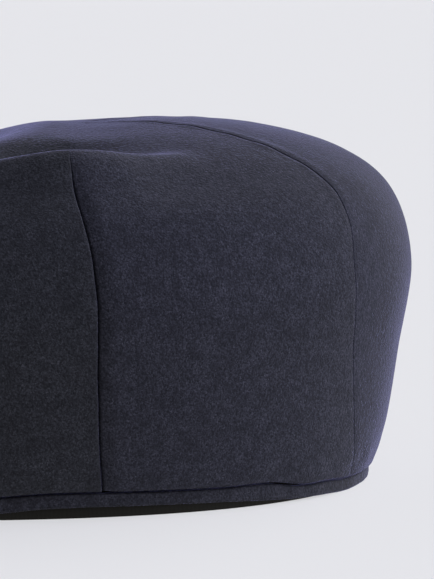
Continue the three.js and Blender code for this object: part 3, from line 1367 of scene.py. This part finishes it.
HEM_PAINTED_SHADE = (0.88, 0.88, 0.84)  # painted shade: the hem's copy of the wool is darker


@dataclass
class HemBand:
    """The turned hem under the crown, a soft rounded strip bent round the head."""

    form: CrownForm
    place: Place
    finish: bpy.types.Material
    thickness: float = HEM_THICKNESS
    strip: float = 3.9  # height of the flat strip, before it takes the hem's own height
    end_gap: float = 0.5  # space left before the peak's corners
    rounding: float = 0.6
    rounding_steps: int = 4
    columns: int = 420
    rows: int = 6
    readings: int = 721
    waves: Unevenness = Unevenness(height=0.16, size=5.0, seed=2.0)
    dimples: Unevenness = Unevenness(height=0.06, size=2.0, seed=4.0)

    def build(self) -> bpy.types.Object:
        """Makes the band's object.

        Returns:
            The finished band.
        """
        end = self.form.peak.corner - self.end_gap / HEAD.half_width
        made = flat_slab(self.columns, self.rows, self.thickness)
        bmesh.ops.scale(made, verts=made.verts, vec=(1.0, self.strip, 1.0))
        long_edges = [edge for edge in made.edges if self.is_rim(edge)]
        bmesh.ops.bevel(
            made,
            geom=long_edges,
            offset=self.rounding,
            offset_type="OFFSET",
            segments=self.rounding_steps,
            profile=0.5,
            affect="EDGES",
            clamp_overlap=True,
            material=-1,
        )
        flat = coordinates(made)
        angle = mix(end, -end, flat[:, 0])
        share = flat[:, 1] / self.strip
        lift, top = self.form.hem_lift(angle), self.form.hem_top(angle)
        depth = -flat[:, 2]
        plan_face = HEAD.point(angle, 0.0)
        plan_back = HEAD.point(angle, -self.thickness)
        plan = mix(plan_face, plan_back, (depth / self.thickness)[:, None])
        laid = np.concatenate([plan, mix(lift, top, share)[:, None]], axis=1)
        outward = plan_face - plan_back
        outward = outward / np.linalg.norm(outward, axis=1, keepdims=True)
        ripple = self.waves.at(laid) + self.dimples.at(laid)
        near_face = 1.0 - depth / self.thickness
        laid[:, :2] += outward * (ripple * near_face)[:, None]
        laid[:, 2] = np.maximum(laid[:, 2], 0.0)
        length = running_length(HEAD.point(np.linspace(end, -end, self.readings)), axis=0)
        run = np.interp(flat[:, 0], np.linspace(0.0, 1.0, self.readings), length)
        put_back(made, self.place.metres(laid))
        lay_map(made, np.stack([run, flat[:, 1] + depth], axis=-1) * MM)
        return finish_piece(made, "wool_hem_band", "hem_band", self.finish)

    def is_rim(self, edge: bmesh.types.BMEdge) -> bool:
        """True for an edge along the strip's upper or lower border.

        Args:
            edge: An edge of the flat strip.

        Returns:
            Whether it belongs to the rim that is rounded.
        """
        a, b = edge.verts
        level = abs(a.co.y - b.co.y) < HAIR and abs(a.co.z - b.co.z) < HAIR
        at_border = a.co.y < HAIR or a.co.y > self.strip - HAIR
        return level and at_border


@dataclass
class Sweatband:
    """The tape inside the head opening: a thin ribbed strip turned round the head."""

    form: CrownForm
    place: Place
    finish: bpy.types.Material
    height: float = 26.0
    thickness: float = 1.2
    inset: float = 2.6
    show_below: float = 1.0
    # Round the head: where its lower edge rises from the table to the peak.
    rise: tuple[float, float] = (math.radians(104), math.radians(116))
    steps: int = 360
    rows: int = 10

    def foot(self, angle: np.ndarray) -> np.ndarray:
        """Height of its lower edge: on the table, and behind the peak in front.

        Args:
            angle: Angles round the head.

        Returns:
            The height at each angle.
        """
        plan = HEAD.point(angle, -HEM_THICKNESS)
        peak = self.form.peak
        behind = peak.middle(plan[..., 0], plan[..., 1]) - peak.thickness / 2 - self.show_below
        return np.maximum(0.0, behind * smooth_step(*self.rise, folded(angle)))

    def build(self) -> bpy.types.Object:
        """Makes the band's object.

        Returns:
            The finished band.
        """
        made = bmesh.new()
        bmesh.ops.create_grid(made, x_segments=1, y_segments=self.rows, size=0.5)
        for vert in made.verts:
            turned_in = HEAD.half_width - self.inset - self.thickness * (0.5 - vert.co.x)
            vert.co = (turned_in, 0.0, (vert.co.y + 0.5) * self.height)
        bmesh.ops.delete(made, geom=made.faces[:], context="FACES_KEEP_BOUNDARY")
        bmesh.ops.spin(
            made,
            geom=made.edges[:] + made.verts[:],
            cent=(0, 0, 0),
            axis=(0, 0, 1),
            dvec=(0, 0, 0),
            angle=2.0 * math.pi,
            steps=self.steps,
            use_merge=True,
            use_duplicate=False,
        )
        bmesh.ops.remove_doubles(made, verts=made.verts, dist=1e-4)
        flat = coordinates(made)
        angle = np.arctan2(flat[:, 0], flat[:, 1])
        outset = np.hypot(flat[:, 0], flat[:, 1]) - HEAD.half_width
        plan = np.stack([HEAD.point(a, o) for a, o in zip(angle, outset)])
        laid = np.concatenate([plan, (self.foot(angle) + flat[:, 2])[:, None]], axis=1)
        put_back(made, self.place.metres(laid))
        run = angle * HEAD_RADIUS
        lay_map(made, np.stack([run, flat[:, 2]], axis=-1) * MM)
        return finish_piece(made, "tape_sweatband", "sweatband", self.finish)


@dataclass
class Peak:
    """The stiff peak: a board with the cloth drawn over it."""

    form: CrownForm
    place: Place
    finish: bpy.types.Material
    columns: int = 200
    rows: int = 60
    rim_cuts: int = 5
    crowding: float = 0.85  # under 1, its rows lie closer together near the outer edge
    rounded: float = 1.4  # how far in the edge is rounded, in half thicknesses
    thinnest: float = 0.05
    dimples: Unevenness = Unevenness(height=0.05, size=6.0, seed=9.0)

    def build(self) -> bpy.types.Object:
        """Makes the peak's object.

        Returns:
            The finished peak.
        """
        peak = self.form.peak
        made = flat_slab(self.columns, self.rows, 1.0)
        rim = [edge for edge in made.edges if self.is_outer_wall(edge)]
        bmesh.ops.subdivide_edges(made, edges=rim, cuts=self.rim_cuts, use_grid_fill=True)
        flat = coordinates(made)
        angle = mix(peak.corner, 2.0 * math.pi - peak.corner, flat[:, 0])
        turn = math.pi * flat[:, 0]
        inner = HEAD.point(angle, -HEM_THICKNESS)
        corner = HEAD.point(np.array(peak.corner), 0.0)
        outer_x = corner[0] * np.cos(turn)
        outer_y = corner[1] + (peak.front - corner[1]) * np.sin(turn)
        outer = np.stack([outer_x, outer_y], axis=-1)
        share = flat[:, 1] ** self.crowding
        plan = mix(inner, outer, share[:, None])
        to_edge = np.linalg.norm(outer - plan, axis=1)
        half = peak.thickness / 2.0
        curve = np.clip(1.0 - to_edge / (self.rounded * half), 0.0, 1.0)
        thin = half * np.sqrt(np.maximum(1.0 - curve**2, 0.0))
        depth = 2.0 * flat[:, 2] + 1.0
        height = peak.middle(plan[:, 0], plan[:, 1]) + depth * np.maximum(thin, self.thinnest)
        laid = np.concatenate([plan, height[:, None]], axis=1)
        laid[:, 2] = np.maximum(laid[:, 2] + self.dimples.at(laid), 0.0)
        put_back(made, self.place.metres(laid))
        lay_map(made, plan * MM)
        return finish_piece(made, "wool_peak", "peak", self.finish)

    @staticmethod
    def is_outer_wall(edge: bmesh.types.BMEdge) -> bool:
        """True for an upright edge of the slab's outer wall."""
        a, b = edge.verts
        return abs(a.co.z - b.co.z) > 0.5 and a.co.y > 1.0 - HAIR


# ---------------------------------------------------------------- studio
@dataclass(frozen=True)
class Lamp:
    """A distant soft light: where it comes from, how wide it looks and how strong it is."""

    name: str
    toward: tuple[float, float, float]
    strength: float  # 1 lights a face that it meets squarely to its full tone
    width: float  # in degrees
    colour: tuple[float, float, float] = (1.0, 1.0, 1.0)

    def build(self) -> None:
        """Adds the light to the scene."""
        data = bpy.data.lights.new(self.name, "SUN")
        data.energy = self.strength * math.pi
        data.angle = math.radians(self.width)
        data.color = self.colour
        lamp = bpy.data.objects.new(self.name, data)
        lamp.rotation_mode = "QUATERNION"
        lamp.rotation_quaternion = Vector(self.toward).to_track_quat("Z", "Y")
        bpy.context.scene.collection.objects.link(lamp)


SKYLIGHT = (0.94, 0.96, 1.16)  # the cool tint of the light from a window behind the cap


@dataclass
class Studio:
    """Camera, soft lights and the pale floor."""

    aim: tuple[float, float, float] = (0.0, 0.0900, 0.0473)
    distance: float = 1.25
    elevation: float = math.radians(5.93)
    lens: float = 301.2  # in millimetres, as is the sensor's width
    sensor: float = 36.0
    sky: float = 0.13
    bounce: float = 0.80
    backdrop: Colour = (0.80, 0.80, 0.815, 1.0)
    horizon: float = 0.05  # the sky and the bounce blend over this much each side of level
    floor_size: float = 60.0
    lamps: tuple[Lamp, ...] = (
        Lamp("key_from_behind", (0.25, 0.80, 0.85), 0.52, 60.0, SKYLIGHT),
        Lamp("low_rear_light", (0.0, 1.0, 0.3), 0.42, 60.0, SKYLIGHT),
        Lamp("far_side_light", (-1.0, 0.0, 0.5), 0.13, 60.0),
        Lamp("far_rear_light", (-0.7, 0.7, 0.3), 0.93, 60.0),
    )

    def build(self) -> None:
        """Sets up everything round the cap."""
        self.camera()
        self.world()
        for lamp in self.lamps:
            lamp.build()
        self.floor()
        bpy.context.scene.view_settings.view_transform = "Standard"

    def camera(self) -> None:
        """Makes the camera, which looks at the cap's left side from just above the table."""
        data = bpy.data.cameras.new("camera")
        data.lens = self.lens
        data.sensor_width = self.sensor
        data.clip_start, data.clip_end = 0.05, 200.0
        camera = bpy.data.objects.new("camera", data)
        back = Vector((math.cos(self.elevation), 0.0, math.sin(self.elevation)))
        camera.location = Vector(self.aim) + back * self.distance
        camera.rotation_mode = "QUATERNION"
        camera.rotation_quaternion = (-back).to_track_quat("-Z", "Y")
        bpy.context.scene.collection.objects.link(camera)
        bpy.context.scene.camera = camera

    def world(self) -> None:
        """Makes the even light: a dim sky, and the pale room's bounce from below the horizon.

        The camera sees neither, but the backdrop's own tone.
        """
        world = bpy.data.worlds.new("studio")
        world.use_nodes = True
        tree = world.node_tree
        tree.nodes.clear()
        places = tree.nodes.new("ShaderNodeTexCoord")
        split = tree.nodes.new("ShaderNodeSeparateXYZ")
        tree.links.new(places.outputs["Generated"], split.inputs[0])
        level = tree.nodes.new("ShaderNodeMapRange")
        level.inputs["From Min"].default_value = -self.horizon
        level.inputs["From Max"].default_value = self.horizon
        level.inputs["To Min"].default_value = self.bounce
        level.inputs["To Max"].default_value = self.sky
        tree.links.new(split.outputs["Z"], level.inputs["Value"])
        path = tree.nodes.new("ShaderNodeLightPath")
        light, seen = (tree.nodes.new("ShaderNodeBackground") for _ in range(2))
        light.inputs["Color"].default_value = (1.0, 1.0, 1.0, 1.0)
        tree.links.new(level.outputs[0], light.inputs["Strength"])
        seen.inputs["Color"].default_value = self.backdrop
        choose = tree.nodes.new("ShaderNodeMixShader")
        output = tree.nodes.new("ShaderNodeOutputWorld")
        tree.links.new(path.outputs["Is Camera Ray"], choose.inputs[0])
        tree.links.new(light.outputs[0], choose.inputs[1])
        tree.links.new(seen.outputs[0], choose.inputs[2])
        tree.links.new(choose.outputs[0], output.inputs["Surface"])
        bpy.context.scene.world = world

    def floor(self) -> None:
        """Makes the pale floor."""
        made = bmesh.new()
        bmesh.ops.create_grid(made, x_segments=1, y_segments=1, size=self.floor_size / 2.0)
        mesh = bpy.data.meshes.new("floor")
        made.to_mesh(mesh)
        made.free()
        mesh.materials.append(PaleFloor().material())
        floor = bpy.data.objects.new("floor", mesh)
        bpy.context.scene.collection.objects.link(floor)
        floor.visible_diffuse = False
        floor.visible_glossy = False


def main() -> None:
    """Builds the studio and the cap's pieces in order."""
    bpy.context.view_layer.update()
    Studio().build()
    form = CrownForm()
    place = Place.from_frame()
    melton = WoolMelton()
    wool = melton.material()
    # The hem gets a darker copy of the wool: painted shade.
    hem_wool = replace(melton, name=f"{melton.name}_hem", nap=HEM_PAINTED_SHADE).material()
    Crown(form, place, melton).build()
    HemBand(form, place, hem_wool).build()
    Sweatband(form, place, BandTape().material()).build()
    Peak(form, place, wool).build()


if __name__ == "__main__":
    logging.basicConfig(level=logging.INFO, format="%(name)s: %(message)s")
    main()
